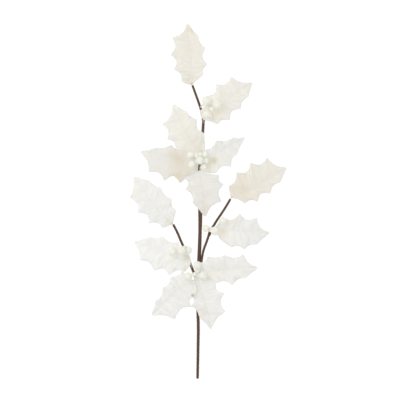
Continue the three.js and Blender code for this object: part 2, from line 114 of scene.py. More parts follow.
def lay_curves(name, lines):
    """A curve object with one line for each pair of points and radii, in metres."""
    curve = bpy.data.curves.new(name, "CURVE")
    curve.dimensions = "3D"
    for points, radii in lines:
        spline = curve.splines.new("POLY")
        spline.points.add(len(points) - 1)
        spline.points.foreach_set("co", np.column_stack([points, np.ones(len(points))]).ravel())
        spline.points.foreach_set("radius", np.broadcast_to(radii, len(points)).copy())
    return put_in_scene(name, curve)


class Value:
    """A number in a node tree, so that a formula in nodes reads as a formula."""

    def __init__(self, tree, socket):
        self.tree = tree
        self.socket = socket

    def math(self, operation, *others):
        node = self.tree.nodes.new("ShaderNodeMath")
        node.operation = operation
        for place, value in zip(node.inputs, (self, *others)):
            connect(self.tree, place, value)
        return Value(self.tree, node.outputs[0])

    def __add__(self, other):
        return self.math("ADD", other)

    def __sub__(self, other):
        return self.math("SUBTRACT", other)

    def __rsub__(self, other):
        return self.math("MULTIPLY_ADD", -1.0, other)

    def __mul__(self, other):
        return self.math("MULTIPLY", other)

    def __truediv__(self, other):
        return self.math("DIVIDE", other)

    def __pow__(self, other):
        return self.math("POWER", other)


def connect(tree, place, value):
    """Links a node's input to a value or a socket, or sets it to a plain value."""
    if isinstance(value, Value):
        tree.links.new(value.socket, place)
    elif isinstance(value, bpy.types.NodeSocket):
        tree.links.new(value, place)
    else:
        place.default_value = value


def add_node(tree, kind, inputs=None, **settings):
    """A new node with its settings, and its inputs by name."""
    node = tree.nodes.new(kind)
    for name, value in settings.items():
        setattr(node, name, value)
    for name, value in (inputs or {}).items():
        place = next(i for i in node.inputs if i.name == name and i.enabled)
        connect(tree, place, value)
    return node


def geometry_tree(name, sizes):
    """A geometry node tree with a Geometry input and output and named inputs for its sizes."""
    tree = bpy.data.node_groups.new(name, "GeometryNodeTree")
    tree.is_modifier = True
    tree.interface.new_socket("Geometry", in_out="INPUT", socket_type="NodeSocketGeometry")
    for label, kind in sizes.items():
        tree.interface.new_socket(label, in_out="INPUT", socket_type="NodeSocket" + kind)
    tree.interface.new_socket("Geometry", in_out="OUTPUT", socket_type="NodeSocketGeometry")
    given = tree.nodes.new("NodeGroupInput").outputs
    return tree, given


def with_material(tree, geometry, material, where=True):
    node = add_node(
        tree,
        "GeometryNodeSetMaterial",
        {"Geometry": geometry, "Selection": where, "Material": material},
    )
    return node.outputs[0]


def made_real(tree, geometry):
    return add_node(tree, "GeometryNodeRealizeInstances", {"Geometry": geometry}).outputs[0]


def end_tree(tree, geometry):
    """Ends a tree, with its instances made real and its faces smooth."""
    real = made_real(tree, geometry)
    smooth = add_node(tree, "GeometryNodeSetShadeSmooth", {"Geometry": real})
    out = tree.nodes.new("NodeGroupOutput")
    tree.links.new(smooth.outputs[0], out.inputs[0])


def plain_mesh(source):
    """The mesh that an object's modifiers make, with the numbers stored on it."""
    graph = bpy.context.evaluated_depsgraph_get()
    return bpy.data.meshes.new_from_object(
        source.evaluated_get(graph), preserve_all_data_layers=True, depsgraph=graph
    )


def shape_with(source, name, tree, **sizes):
    """A new object in an object's place: the plain mesh that a tree makes of it."""
    modifier = source.modifiers.new("shape", "NODES")
    modifier.node_group = tree
    inputs = {i.name: i.identifier for i in tree.interface.items_tree if i.in_out == "INPUT"}
    for label, value in sizes.items():
        modifier[inputs[label.replace("_", " ")]] = value
    mesh = plain_mesh(source)
    mesh.name = name
    bpy.data.objects.remove(source)
    return put_in_scene(name, mesh)


def ring_of(tree, sides):
    """A circle with a radius of 1, for the section of a tube."""
    ring = add_node(tree, "GeometryNodeCurvePrimitiveCircle", {"Resolution": sides, "Radius": 1.0})
    return ring.outputs[0]


def tube_along(tree, curve, section):
    """The tube along each line of a curve, as thick as its points' radii, with closed ends."""
    radius = add_node(tree, "GeometryNodeInputRadius").outputs[0]
    return add_node(
        tree,
        "GeometryNodeCurveToMesh",
        {"Curve": curve, "Profile Curve": section, "Scale": radius, "Fill Caps": True},
    ).outputs[0]


ROUND_WIRE, given = geometry_tree("Round wire", {"Sides": "Int", "Finish": "Material"})
wire = tube_along(ROUND_WIRE, given["Geometry"], ring_of(ROUND_WIRE, given["Sides"]))
end_tree(ROUND_WIRE, with_material(ROUND_WIRE, wire, given["Finish"]))


def new_material(name, **settings):
    """A material with some of its shader's inputs set, its node tree and those inputs."""
    material = bpy.data.materials.new(name)
    material.use_nodes = True
    tree = material.node_tree
    shader = tree.nodes["Principled BSDF"].inputs
    for label, value in settings.items():
        shader[label.replace("_", " ")].default_value = value
    return material, tree, shader


def mix_colours(tree, share, first, second):
    mix = add_node(
        tree, "ShaderNodeMix", {"Factor": share, "A": first, "B": second}, data_type="RGBA"
    )
    return next(o for o in mix.outputs if o.enabled)


def colour(tree, shader, share, first, second):
    """Gives a material a mix of two colours."""
    connect(tree, shader["Base Color"], mix_colours(tree, share, first, second))


def noise(tree, where, scale, detail=3.0):
    node = add_node(
        tree, "ShaderNodeTexNoise", {"Vector": where, "Scale": scale, "Detail": detail}
    )
    return Value(tree, node.outputs[0])


def object_place(tree):
    return add_node(tree, "ShaderNodeTexCoord").outputs["Object"]


steel, tree, shader = new_material("drawn_steel", Metallic=0.9)
drawn = add_node(
    tree, "ShaderNodeMapping", {"Vector": object_place(tree), "Scale": DRAWING_MARKS}
)
drawing_marks = noise(tree, drawn.outputs[0], 1.0)
colour(tree, shader, drawing_marks, (0.20, 0.20, 0.21, 1), (0.33, 0.33, 0.34, 1))
connect(tree, shader["Roughness"], drawing_marks * 0.25 + 0.28)

for name, stem in STEMS.items():
    line = smooth_path(stem["path"], WIRE_SPACING)
    line = line[: round(len(line) * stem["core_reach"])]
    core = lay_curves(name + "_core", [(line, stem["core_radius"] * MM)])
    core = shape_with(core, name + "_core", ROUND_WIRE, Sides=WIRE_SIDES, Finish=steel)
    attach(core, "root")
    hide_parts(name + "_core_wire")

# Stems
# Each stem is its core wire wound in a spiral with brown crinkled paper tape, each turn half over
# the last. More tape goes round where leaves, stalks and side stems are bound in.

TAPE_SPACING = 0.5 * MM
TAPE_SIDES = 28
TAPE_PITCH = 7.5 * MM
TAPE_LAP = 0.3 * MM
TAPE_CRINKLE = 0.22 * MM
BARE_END = 0.3 * MM
START_TURN = 0.37
# How much thinner a winding is at its ends, and over what share of its half length it swells.
WINDING_SPREAD = 0.25
WINDING_EDGE = 0.15
# How steeply the tape rises to its free edge, and how narrow the dark line there is, as powers of
# the way across it, and how fast that rise wanders.
LAP_RISE = 3
LAP_LINE = 14
LAP_WANDER = 90.0
# The crinkles to the width of the tape and to a metre of stem.
CRINKLES_ACROSS = 26
CRINKLES_ALONG = 260
# How stretched the tape's fibres are, and how fine patches are beside fibres.
FIBRES_ACROSS = 0.02
FIBRE_PATCHES = 0.09


def tape_radii(stem, line):
    """The tape's radius at each point of a line, with a rounded swelling at each winding."""
    share = np.linspace(0, 1, len(line))
    radii = np.interp(share, np.linspace(0, 1, len(stem["radii"])), stem["radii"])
    for low, high, radius in stem["windings"]:
        middle = (2 * line[:, 1] / MM - low - high) / (high - low)
        swell = radius * (1 - WINDING_SPREAD * middle**2)
        edge = np.clip((1 - np.abs(middle)) / WINDING_EDGE, 0, 1)
        radii = np.maximum(radii, radii + (swell - radii) * edge**2 * (3 - 2 * edge))
    return radii * MM


def stored(tree, geometry, name, value):
    """The geometry with a number stored on it under a name."""
    node = add_node(
        tree,
        "GeometryNodeStoreNamedAttribute",
        {"Geometry": geometry, "Name": name, "Value": value},
    )
    return node.outputs[0]


def kept(tree, name):
    """The number stored on the mesh under a name."""
    node = add_node(tree, "GeometryNodeInputNamedAttribute", {"Name": name}, data_type="FLOAT")
    return Value(tree, node.outputs[0])


def position(tree):
    return add_node(tree, "GeometryNodeInputPosition").outputs[0]


def split(tree, vector):
    """A vector's X, Y and Z."""
    parts = add_node(tree, "ShaderNodeSeparateXYZ", {"Vector": vector}).outputs
    return [Value(tree, part) for part in parts]


def vector_of(tree, **parts):
    return add_node(tree, "ShaderNodeCombineXYZ", parts).outputs[0]


def moved(tree, geometry, place):
    """The geometry with its points moved."""
    node = add_node(tree, "GeometryNodeSetPosition", {"Geometry": geometry, "Position": place})
    return node.outputs[0]


def raised(tree, geometry, height):
    """The geometry with each point raised along its normal."""
    normal = add_node(tree, "GeometryNodeInputNormal").outputs[0]
    offset = add_node(tree, "ShaderNodeVectorMath", operation="SCALE")
    connect(tree, offset.inputs[0], normal)
    connect(tree, offset.inputs["Scale"], height)
    return add_node(
        tree, "GeometryNodeSetPosition", {"Geometry": geometry, "Offset": offset.outputs[0]}
    ).outputs[0]


WOUND_TAPE, given = geometry_tree(
    "Wound tape",
    {
        "Sides": "Int", "Pitch": "Float", "Lap": "Float", "Crinkle": "Float", "Seed": "Float",
        "Finish": "Material",
    },
)
spline = add_node(WOUND_TAPE, "GeometryNodeSplineParameter").outputs
middle_line = stored(WOUND_TAPE, given["Geometry"], "along", spline["Length"])
ring = stored(WOUND_TAPE, ring_of(WOUND_TAPE, given["Sides"]), "around", spline["Factor"])
along = kept(WOUND_TAPE, "along")
turns = along / given["Pitch"] + kept(WOUND_TAPE, "around") + given["Seed"]
lap = turns.math("FRACT")
wander = noise(WOUND_TAPE, position(WOUND_TAPE), LAP_WANDER)
crinkle_place = vector_of(WOUND_TAPE, X=turns * CRINKLES_ACROSS, Y=along * CRINKLES_ALONG)
crinkles = noise(WOUND_TAPE, crinkle_place, 1.0, 4.0)
height = lap**LAP_RISE * given["Lap"] * (wander + 0.5) + (crinkles - 0.6) * given["Crinkle"]
wound = raised(WOUND_TAPE, tube_along(WOUND_TAPE, middle_line, ring), height)
# The tape is pressed flat where it meets the surface that the branch lies on.
x, y, z = split(WOUND_TAPE, position(WOUND_TAPE))
pressed = moved(WOUND_TAPE, wound, vector_of(WOUND_TAPE, X=x, Y=y, Z=z.math("MAXIMUM", 0.0)))
marked = stored(WOUND_TAPE, pressed, "lap", lap)
marked = stored(WOUND_TAPE, marked, "turns", turns)
end_tree(WOUND_TAPE, with_material(WOUND_TAPE, marked, given["Finish"]))


def shader_group(name, sizes, results):
    """A shader node group with named inputs and outputs, and the sockets inside it."""
    group = bpy.data.node_groups.new(name, "ShaderNodeTree")
    for label, kind in sizes.items():
        group.interface.new_socket(label, in_out="INPUT", socket_type="NodeSocket" + kind)
    for label, kind in results.items():
        group.interface.new_socket(label, in_out="OUTPUT", socket_type="NodeSocket" + kind)
    given = group.nodes.new("NodeGroupInput").outputs
    result = group.nodes.new("NodeGroupOutput").inputs
    return group, given, result


# Fibres of paper or cloth: shade mottles the colour and height goes to a bump.
FIBRES, given, result = shader_group(
    "Fibres",
    {"Vector": "Vector", "Fineness": "Float"},
    {"Shade": "Float", "Height": "Float"},
)
long_fibres = noise(FIBRES, given["Vector"], given["Fineness"], 6.0)
patch_fineness = Value(FIBRES, given["Fineness"]) * FIBRE_PATCHES
patches = noise(FIBRES, given["Vector"], patch_fineness, 2.0)
connect(FIBRES, result["Shade"], long_fibres * 0.5 + patches * 0.5)
connect(FIBRES, result["Height"], long_fibres)


def fibres(tree, where, fineness):
    node = tree.nodes.new("ShaderNodeGroup")
    node.node_tree = FIBRES
    connect(tree, node.inputs["Vector"], where)
    node.inputs["Fineness"].default_value = fineness
    return Value(tree, node.outputs["Shade"]), Value(tree, node.outputs["Height"])


def emboss(tree, shader, height, depth):
    """Gives a material fine relief."""
    node = add_node(tree, "ShaderNodeBump", {"Height": height, "Distance": depth, "Strength": 1.0})
    connect(tree, shader["Normal"], node.outputs[0])


def attribute(tree, name):
    """The number stored on the mesh under a name, as a material sees it."""
    node = add_node(tree, "ShaderNodeAttribute", attribute_name=name)
    return Value(tree, node.outputs["Fac"])


tape, tree, shader = new_material("stem_tape", Roughness=0.82)
across = attribute(tree, "turns") * FIBRES_ACROSS
tape_place = vector_of(tree, X=across, Y=attribute(tree, "along"))
shade, height = fibres(tree, tape_place, 900.0)
paper = mix_colours(tree, shade, (0.050, 0.021, 0.011, 1), (0.160, 0.084, 0.050, 1))
lap_edge = attribute(tree, "lap") ** LAP_LINE
colour(tree, shader, lap_edge * 0.6, paper, (0.030, 0.018, 0.014, 1))
emboss(tree, shader, height, 0.15 * MM)

for seed, (name, stem) in enumerate(STEMS.items()):
    line = smooth_path(stem["path"], TAPE_SPACING)
    radii = tape_radii(stem, line)
    if name == "main_stem":
        start = round(BARE_END / TAPE_SPACING)
        line, radii = line[start:], radii[start:]
    wound_stem = lay_curves(name + "_tape", [(line, radii)])
    wound_stem = shape_with(
        wound_stem, name + "_tape", WOUND_TAPE, Sides=TAPE_SIDES, Pitch=TAPE_PITCH,
        Lap=TAPE_LAP, Crinkle=TAPE_CRINKLE, Seed=START_TURN * seed, Finish=tape,
    )
    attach(wound_stem, "root")
    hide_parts(name)

# Leaves
# Each leaf is a die-cut piece of stiffened white cloth, hot pressed so that its midrib and a vein
# to each spine stand in it as grooves. It keeps that shape, and its cut margin is left raw.

# Each leaf in mm and degrees. root, heading and length place it, tip is the height of its tip and
# crest is how far it arches between. left and right list the corners of its margins as distance
# along, distance out and, where it isn't the usual one, the depth of the scallop before the corner
# as a share of its chord. left_tip_depth is that of the scallop before the tip. bow bends the
# midrib sideways, fold lifts both halves, curl drops the margins, twist turns the blade and ripple
# waves its edge. bound is where its wire enters the tape. The tan tint, at the root and at the tip,
# is partly the cloth's own dye and partly painted shade for light bounced between the leaves. The
# grey tint is painted shade that darkens the whole leaf. These tints and midrib are shares of the
# full strength. Each patch of painted shade, under berries, in folds and where leaves overlap, is
# its place along and out, its radius and its strength.
LEAVES = {
    "top_leaf": {
        "root": (-33.8, 233.7, 22), "heading": 94, "length": 122.8, "tip": 12, "crest": 9,
        "left": [(8, 20, -0.1), (32, 34.2, 0.22), (62, 39.2, 0.3), (96, 33.2)],
        "right": [(18, 23.6, 0), (38, 33.2, 0.16), (70, 32.2), (96, 19.2, 0.13)],
        "bow": -3, "fold": 14, "curl": 6, "twist": -6, "ripple": 2.5, "left_tip_depth": 0.17,
        "bound": (-28.8, 221.5, 19.8), "yellowing": (0.36, 0.5), "dust": 0.5, "midrib": 0.5,
        "shade_patches": [(111, -6, 10, 0.3), (10, 3, 12, 0.2)],
    },
    "upper_right_leaf": {
        "root": (-11.2, 162.9, 21.8), "heading": 37.4, "length": 124, "tip": 0.45, "crest": 8,
        "left": [(6, 19.1, -0.08), (32.5, 36, 0.2), (63.8, 41.5, 0.32), (97.6, 35.6)],
        "right": [(17.1, 24.4, 0.06), (41.7, 32.8, 0.2), (73, 27.5, 0.3), (99.6, 17.9, 0.18)],
        "bow": 2, "fold": 9, "curl": 8, "twist": 8, "ripple": 3, "left_tip_depth": 0.14,
        "bound": (-11.3, 157.4, 18.9), "yellowing": (0.3, 0.3), "dust": 0.1, "midrib": 0.15,
        "shade_patches": [(46, 0, 12, 0.3), (19, -7, 14, 0.2)],
    },
    "upper_cluster_back_leaf": {
        "root": (-18.8, 96.3, 18.4), "heading": 118, "length": 111.5, "tip": 15, "crest": 9,
        "left": [(-9, 6), (29, 39.2, 0), (55, 44.2, 0.3), (86, 38.2)],
        "right": [(-3, 11), (32, 27.4, 0), (62, 28.2, 0.28), (85, 17.2, 0.15)],
        "bow": 3, "fold": 6, "curl": 8, "twist": 5, "ripple": 3, "left_tip_depth": 0.14,
        "bound": (-17.2, 88, 16.2), "yellowing": (0.3, 0.3), "dust": 0.3, "midrib": 0.8,
        "shade_patches": [(18, -6, 16, 0.2)],
    },
    "upper_cluster_left_leaf": {
        "root": (-21.6, 72.1, 18.5), "heading": 166.5, "length": 118.4, "tip": 0.45, "crest": 16,
        "left": [(-2.4, 12), (27, 43.2, 0.05), (58, 46.2, 0.4), (93, 36.2)],
        "right": [(3, 12), (34, 25.2, 0), (62, 28.2, 0.2), (91, 15.2, 0.12)],
        "bow": -3, "fold": 10, "curl": 9, "twist": -6, "ripple": 3, "left_tip_depth": 0.15,
        "bound": (-18.6, 77.5, 15.4), "yellowing": (0.35, 0.05), "dust": 1.4, "midrib": 0.3,
        "shade_patches": [(46, -3, 14, 0.6), (29, 16, 20, 0.3), (35, 32, 10, 0.5)],
    },
    "upper_cluster_right_leaf": {
        "root": (-14.9, 75.2, 18), "heading": 31.3, "length": 101.4, "tip": 0.45, "crest": 13,
        "left": [(20, 21.2), (50, 25.2, 0.2), (83, 12.2, 0.13)],
        "right": [(-9.2, 10.7), (16, 31.2, -0.04), (48, 36.2), (71, 20.2, 0.2)],
        "bow": 3, "fold": 14, "curl": 7, "twist": -8, "ripple": 3, "left_tip_depth": 0.1,
        "bound": (-17.6, 72.6, 14.6), "yellowing": (0.1, 0), "dust": 1.0, "midrib": 0.3,
        "shade_patches": [(23, -9, 6, 0.8), (29, -9, 5, 0.5), (11, -11, 8, 0.3)],
    },
    "upper_cluster_front_leaf": {
        "root": (-18.8, 62.6, 22.6), "heading": -83, "length": 93.3, "tip": 22, "crest": 10,
        "left": [(14.3, 38.5, 0.06), (33.3, 45.2, 0.3), (67.3, 36.2)],
        "right": [(11.3, 32.2, 0.03), (34.3, 32.2, 0.32), (63.3, 21.2, 0.2)],
        "bow": 2, "fold": 10, "curl": 9, "twist": 6, "ripple": 3, "left_tip_depth": 0.17,
        "bound": (-19.2, 71.5, 15.8), "yellowing": (0.1, 0.1), "dust": 1.2, "midrib": 0.7,
        "shade_patches": [(49, 5, 8, 0.2), (80, 3, 12, 0.3)],
    },
    "left_mid_leaf": {
        "root": (-72.8, -44.7, 16.4), "heading": 129, "length": 122, "tip": 0.45, "crest": 12,
        "left": [(6, 20.2), (30, 35.2, 0.2), (60, 39.2, 0.3), (94, 33.4, 0.2)],
        "right": [(17, 23.5), (40, 31.2, 0.2), (71, 28, 0.17), (96, 19.5, 0.13)],
        "bow": 3, "fold": 13, "curl": 7, "twist": 6, "ripple": 2.5, "left_tip_depth": 0.08,
        "bound": (-66.4, -55, 14.2), "yellowing": (0, 0), "dust": 0.75, "midrib": 0.5,
        "shade_patches": [(7, 2, 8, 0.3)],
    },
    "right_mid_leaf": {
        "root": (44.2, 7.3, 19.4), "heading": 28.4, "length": 127, "tip": 0.45, "crest": 13,
        "left": [(7, 23.2), (34, 40.2, 0.2), (68, 44.2, 0.33), (102, 37.2, 0.29)],
        "right": [(19, 23.2, 0.1), (43, 32.2, 0.22), (73, 30.2, 0.33), (102, 19.2, 0.2)],
        "bow": -4, "fold": 12, "curl": 8, "twist": -7, "ripple": 3, "left_tip_depth": 0.15,
        "bound": (37.8, -4.5, 17.1), "yellowing": (0.76, 0.3), "dust": 0.3, "midrib": 0.15,
        "shade_patches": [(24, 10, 22, 0.2)],
    },
    "right_lower_leaf": {
        "root": (9.2, -59.7, 16), "heading": -1.5, "length": 112.5, "tip": 0.45, "crest": 12,
        "left": [(17, 31.2), (51, 38.2, 0.31), (86, 31.2, 0.28)],
        "right": [(14, 16.5, 0.1), (36, 31.2, 0.03), (62, 34.2, 0.2), (87, 24.2, 0.15)],
        "bow": 2, "fold": 12, "curl": 8, "twist": 4, "ripple": 3, "left_tip_depth": 0.2,
        "bound": (4.6, -60, 12.6), "yellowing": (0.05, 0), "dust": 0.5, "midrib": 0.15,
        "shade_patches": [(17, 3, 6.4, 0.5), (24, -5, 6, 0.3), (38, 21, 12, 0.3)],
    },
    "left_lower_leaf": {
        "root": (-36.2, -125.1, 15), "heading": 158.8, "length": 122.5, "tip": 0.45, "crest": 13,
        "left": [(6, 19), (32, 37, 0.2), (63, 39.2, 0.33), (97, 29.2, 0.2)],
        "right": [(12, 18, -0.08), (39, 33.2, 0.2), (72, 32.2, 0.2), (96, 21.2, 0.12)],
        "bow": -2, "fold": 12, "curl": 8, "twist": -5, "ripple": 3, "left_tip_depth": 0.11,
        "bound": (-34.2, -133, 8.3), "yellowing": (0.05, 0), "dust": 0.2, "midrib": 0.15,
        "shade_patches": [(12, -11, 7, 0.6), (6, 14, 6, 0.5)],
    },
    "lower_cluster_right_leaf": {
        "root": (-19.8, -142.7, 17), "heading": 4.9, "length": 118.5, "tip": 0.45, "crest": 13,
        "left": [(0, 22), (21, 32.2, 0.25), (54, 32.2, 0.12), (92, 30.2, 0.17)],
        "right": [(5, 17), (34, 23.2, 0.2), (64, 30.2, 0.2), (92, 18.2, 0.16)],
        "bow": 2, "fold": 12, "curl": 8, "twist": 6, "ripple": 3, "left_tip_depth": 0.16,
        "bound": (-18, -136.5, 8.2), "yellowing": (0.05, 0), "dust": 0.3, "midrib": 0.2,
        "shade_patches": [(37, 3, 18, 0.2), (18, -15, 8, 0.2)],
    },
    "lower_cluster_left_leaf": {
        "root": (-32.8, -157.7, 10), "heading": -139.1, "length": 107.4, "tip": 0.45, "crest": 13,
        "left": [(4.2, 14), (19.3, 25.3, 0.05), (32, 43.1, 0.45), (78.4, 36.2)],
        "right": [(3.7, 28), (28.6, 34.6, 0.14), (54.7, 28.9, 0.22), (81.8, 18.2, 0.2)],
        "bow": -3, "fold": 13, "curl": 8, "twist": -5, "ripple": 3, "left_tip_depth": 0.12,
        "bound": (-23.8, -159, 6), "yellowing": (0, 0), "dust": 0.5, "midrib": 0.2,
        "shade_patches": [(28, 1, 7, 0.1)],
    },
    "lower_cluster_front_leaf": {
        "root": (-23.8, -145, 13), "heading": -75.6, "length": 114, "tip": 16, "crest": 11,
        "left": [(2, 7), (23, 34.5, 0), (50, 44.2, 0.33), (87, 37.2)],
        "right": [(2, 6), (41, 20, 0), (57.5, 26, 0.22), (86, 16.2, 0.1)],
        "bow": 3, "fold": 9, "curl": 8, "twist": -6, "ripple": 3, "left_tip_depth": 0.13,
        "bound": (-23.4, -137, 7.6), "yellowing": (0, 0), "dust": 0.4, "midrib": 0.4,
        "shade_patches": [(74, -10, 10, 0.3)],
    },
}
MARGIN_STEPS = 160
BLADE_COLUMNS = 14
SCALLOP_DEPTH = 0.25
RIGHT_TIP_DEPTH = 0.04
TIP_HALF_WIDTH = 2
CORNER_ROUNDING = 3
UV_LENGTH = 100
# How far out a leaf has dropped by its curl, and the share of its thickness that the middle of the
# cloth keeps above the surface.
HALF_WIDTH = 40 * MM
CLOTH_THICKNESS = 0.5 * MM
LEAST_HEIGHT = 0.6
# The power by which a vein leaves the midrib lower than it meets the margin, and a margin's length
# over the leaf's. The fine veins' width and depth, and the midrib's width, are shares of a vein's.
VEIN_SWEEP = 1.5
MARGIN_SLANT = 1.1
VEIN_DEPTH = 0.2 * MM
VEIN_WIDTH = 2 * MM
FINE_VEINS = 3
FINE_WIDTH = 0.7
FINE_DEPTH = 0.2
MIDRIB_WIDTH = 1.5
PILLOW = 0.6 * MM
# How large the crumples, wrinkles and frays are, and how many come to a metre or to a leaf.
CRUMPLE = 2 * MM
BROAD_CRUMPLES = 75.0
SMALL_CRUMPLES = 160.0
SMALL_SHARE = 0.3
WRINKLE = 3.4 * MM
WRINKLES_ALONG = 26
WRINKLES_ACROSS = 3
FRAY = 3 * MM
FRAY_THREADS = 280.0
# Powers by which the veins, crumples and wrinkles fade out and the fray sets in.
VEIN_FADE = (3, 0.3)
CRUMPLE_FADE = (0.3, 0.5)
WRINKLE_FADE = 0.5
FRAY_START = 12
# How far apart the wrinkles of two leaves, and of a leaf's two halves, are taken from the noise.
SEED_STEP = 31
HALF_STEP = 9


def cut_margin(spines, length, tip_depth):
    """One margin from the root to the tip: a scallop between each spine and the next."""
    corners = [(0, 0, 0), *spines, (length, TIP_HALF_WIDTH, tip_depth)]
    steps = MARGIN_STEPS // (len(corners) - 1)
    margin = []
    for i, ((along, out, *_), (next_along, next_out, *given_depth)) in enumerate(
        zip(corners, corners[1:])
    ):
        run = next_along - along
        reach = next_out - out
        usual = 0 if i == 0 else SCALLOP_DEPTH
        depth = given_depth[0] if given_depth else usual
        for share in np.arange(steps) / steps:
            dip = depth * math.sin(math.pi * share)
            margin.append((along + run * share + reach * dip, out + reach * share - run * dip))
    return margin


def cut_outline(leaf):
    """The outline from the root, by the left margin and by the right one, its corners rounded."""
    left = cut_margin(leaf["left"], leaf["length"], leaf["left_tip_depth"])
    right = cut_margin(leaf["right"], leaf["length"], RIGHT_TIP_DEPTH)
    back = [(along, -out) for along, out in reversed(right[1:])]
    outline = np.array([*left, (leaf["length"], 0), *back])
    for _ in range(CORNER_ROUNDING):
        outline = (np.roll(outline, 1, axis=0) + 2 * outline + np.roll(outline, -1, axis=0)) / 4
    return outline, np.roll(outline[::-1], 1, axis=0)


def shade_patch_at(leaf, x, y):
    """How much painted shade a place on the sheet gets. Each patch of it fades out from its middle.
    """
    return sum(
        strength * math.exp(-((x - along) ** 2 + (y - out) ** 2) / radius**2)
        for along, out, radius, strength in leaf["shade_patches"]
    )


def cut_sheet(name, leaf):
    """The flat die-cut sheet, root at the origin, tip along +x and its left side along +y."""
    left, right = cut_outline(leaf)
    points, ways, shares = [(0, 0)], [0.0], [0.0]
    columns = 2 * BLADE_COLUMNS + 1
    for row in range(1, MARGIN_STEPS):
        way = row / MARGIN_STEPS
        rib = leaf["length"] * way**VEIN_SWEEP
        for column in range(-BLADE_COLUMNS, BLADE_COLUMNS + 1):
            edge_along, edge_out = left[row] if column < 0 else right[row]
            share = abs(column) / BLADE_COLUMNS
            points.append((rib + (edge_along - rib) * share, edge_out * share))
            ways.append(way)
            shares.append(share)
    points.append(tuple(left[MARGIN_STEPS]))
    ways.append(1.0)
    shares.append(0.0)

    def at(row, column):
        if row == 0:
            return 0
        return len(points) - 1 if row == MARGIN_STEPS else 1 + (row - 1) * columns + column

    faces = []
    for row in range(MARGIN_STEPS):
        for column in range(columns - 1):
            corners = [
                at(row, column), at(row, column + 1), at(row + 1, column + 1), at(row + 1, column),
            ]
            faces.append(list(dict.fromkeys(corners)))
    mesh = bpy.data.meshes.new(name)
    mesh.from_pydata([(x * MM, y * MM, 0) for x, y in points], [], faces)
    patch_shade = [shade_patch_at(leaf, x, y) for x, y in points]
    for label, values in (("way", ways), ("share", shares), ("patch_shade", patch_shade)):
        mesh.attributes.new(label, "FLOAT", "POINT").data.foreach_set("value", values)
    places = mesh.uv_layers.new(name="UVMap").data
    for loop in mesh.loops:
        spot = mesh.vertices[loop.vertex_index].co[:2]
        places[loop.index].uv = [metre / MM / UV_LENGTH for metre in spot]
    return put_in_scene(name, mesh)


PRESSED_LEAF, given = geometry_tree(
    "Pressed leaf",
    {
        "Length": "Float", "Root": "Vector", "Heading": "Float", "Tip Height": "Float",
        "Crest": "Float", "Bow": "Float", "Fold": "Float", "Curl": "Float", "Twist": "Float",
        "Ripple": "Float", "Left Spines": "Int", "Right Spines": "Int", "Vein Depth": "Float",
        "Vein Width": "Float", "Midrib": "Float", "Pillow": "Float", "Crumple": "Float",
        "Wrinkle": "Float", "Thickness": "Float", "Seed": "Float", "Root Yellowing": "Float",
        "Tip Yellowing": "Float", "Dust": "Float", "Stems": "Object", "Finish": "Material",
    },
)


def leaf_size(label):
    return Value(PRESSED_LEAF, given[label])


flat_place = position(PRESSED_LEAF)
along, out, _ = split(PRESSED_LEAF, flat_place)
way = kept(PRESSED_LEAF, "way")
share = kept(PRESSED_LEAF, "share")
part = along / leaf_size("Length")
arched = part.math("MAXIMUM", 0.0)
arch = leaf_size("Crest") * arched * (1 - arched) * 4
root_x, root_y, root_height = split(PRESSED_LEAF, given["Root"])
spine_line = root_height + (leaf_size("Tip Height") - root_height) * arched + arch
on_left = out.math("GREATER_THAN", 0.0)
spines = leaf_size("Left Spines") * on_left + leaf_size("Right Spines") * (1 - on_left)
stretch = (spines + 1) * way
beside = out.math("ABSOLUTE")
waves = (stretch * (2 * math.pi)).math("COSINE")
swell = (way * math.pi).math("SINE")
fold = beside * leaf_size("Fold").math("TANGENT")
curl = leaf_size("Curl") * (beside / HALF_WIDTH) ** 2
turn = out * leaf_size("Twist").math("TANGENT") * part
ripple = leaf_size("Ripple") * share**2 * waves * swell
lift = fold - curl + turn + ripple


def groove(tree, distance, width):
    """A rounded groove: 1 at its middle, falling to 0 on both sides."""
    ratio = distance / width
    return (ratio * ratio * -1.0).math("EXPONENT")


def nearest_line(field):
    """How far the field is from a whole number."""
    return ((field + 0.5).math("FRACT") - 0.5).math("ABSOLUTE")


stretch_length = leaf_size("Length") * MARGIN_SLANT / (spines + 1)
vein_width = leaf_size("Vein Width")
main_vein = groove(PRESSED_LEAF, nearest_line(stretch) * stretch_length, vein_width)
to_fine_vein = nearest_line(stretch * FINE_VEINS) * stretch_length / FINE_VEINS
fine_vein = groove(PRESSED_LEAF, to_fine_vein, vein_width * FINE_WIDTH)
midrib = groove(PRESSED_LEAF, beside, vein_width * MIDRIB_WIDTH) * leaf_size("Midrib")
fading = (1 - share ** VEIN_FADE[0]) * swell ** VEIN_FADE[1]
side_veins = (main_vein * fading).math("MAXIMUM", fine_vein * fading * FINE_DEPTH)
veins = side_veins.math("MAXIMUM", midrib)
between = (share * math.pi).math("SINE")
pillow = leaf_size("Pillow") * (1 - waves) * between
seeded = add_node(PRESSED_LEAF, "ShaderNodeVectorMath", operation="ADD")
connect(PRESSED_LEAF, seeded.inputs[0], flat_place)
connect(PRESSED_LEAF, seeded.inputs[1], vector_of(PRESSED_LEAF, Z=given["Seed"]))
broad = noise(PRESSED_LEAF, seeded.outputs[0], BROAD_CRUMPLES, 1.0) - 0.5
small = noise(PRESSED_LEAF, seeded.outputs[0], SMALL_CRUMPLES, 2.0) - 0.5
crumple_size = leaf_size("Crumple") * (broad + small * SMALL_SHARE)
crumple = crumple_size * share ** CRUMPLE_FADE[0] * swell ** CRUMPLE_FADE[1]
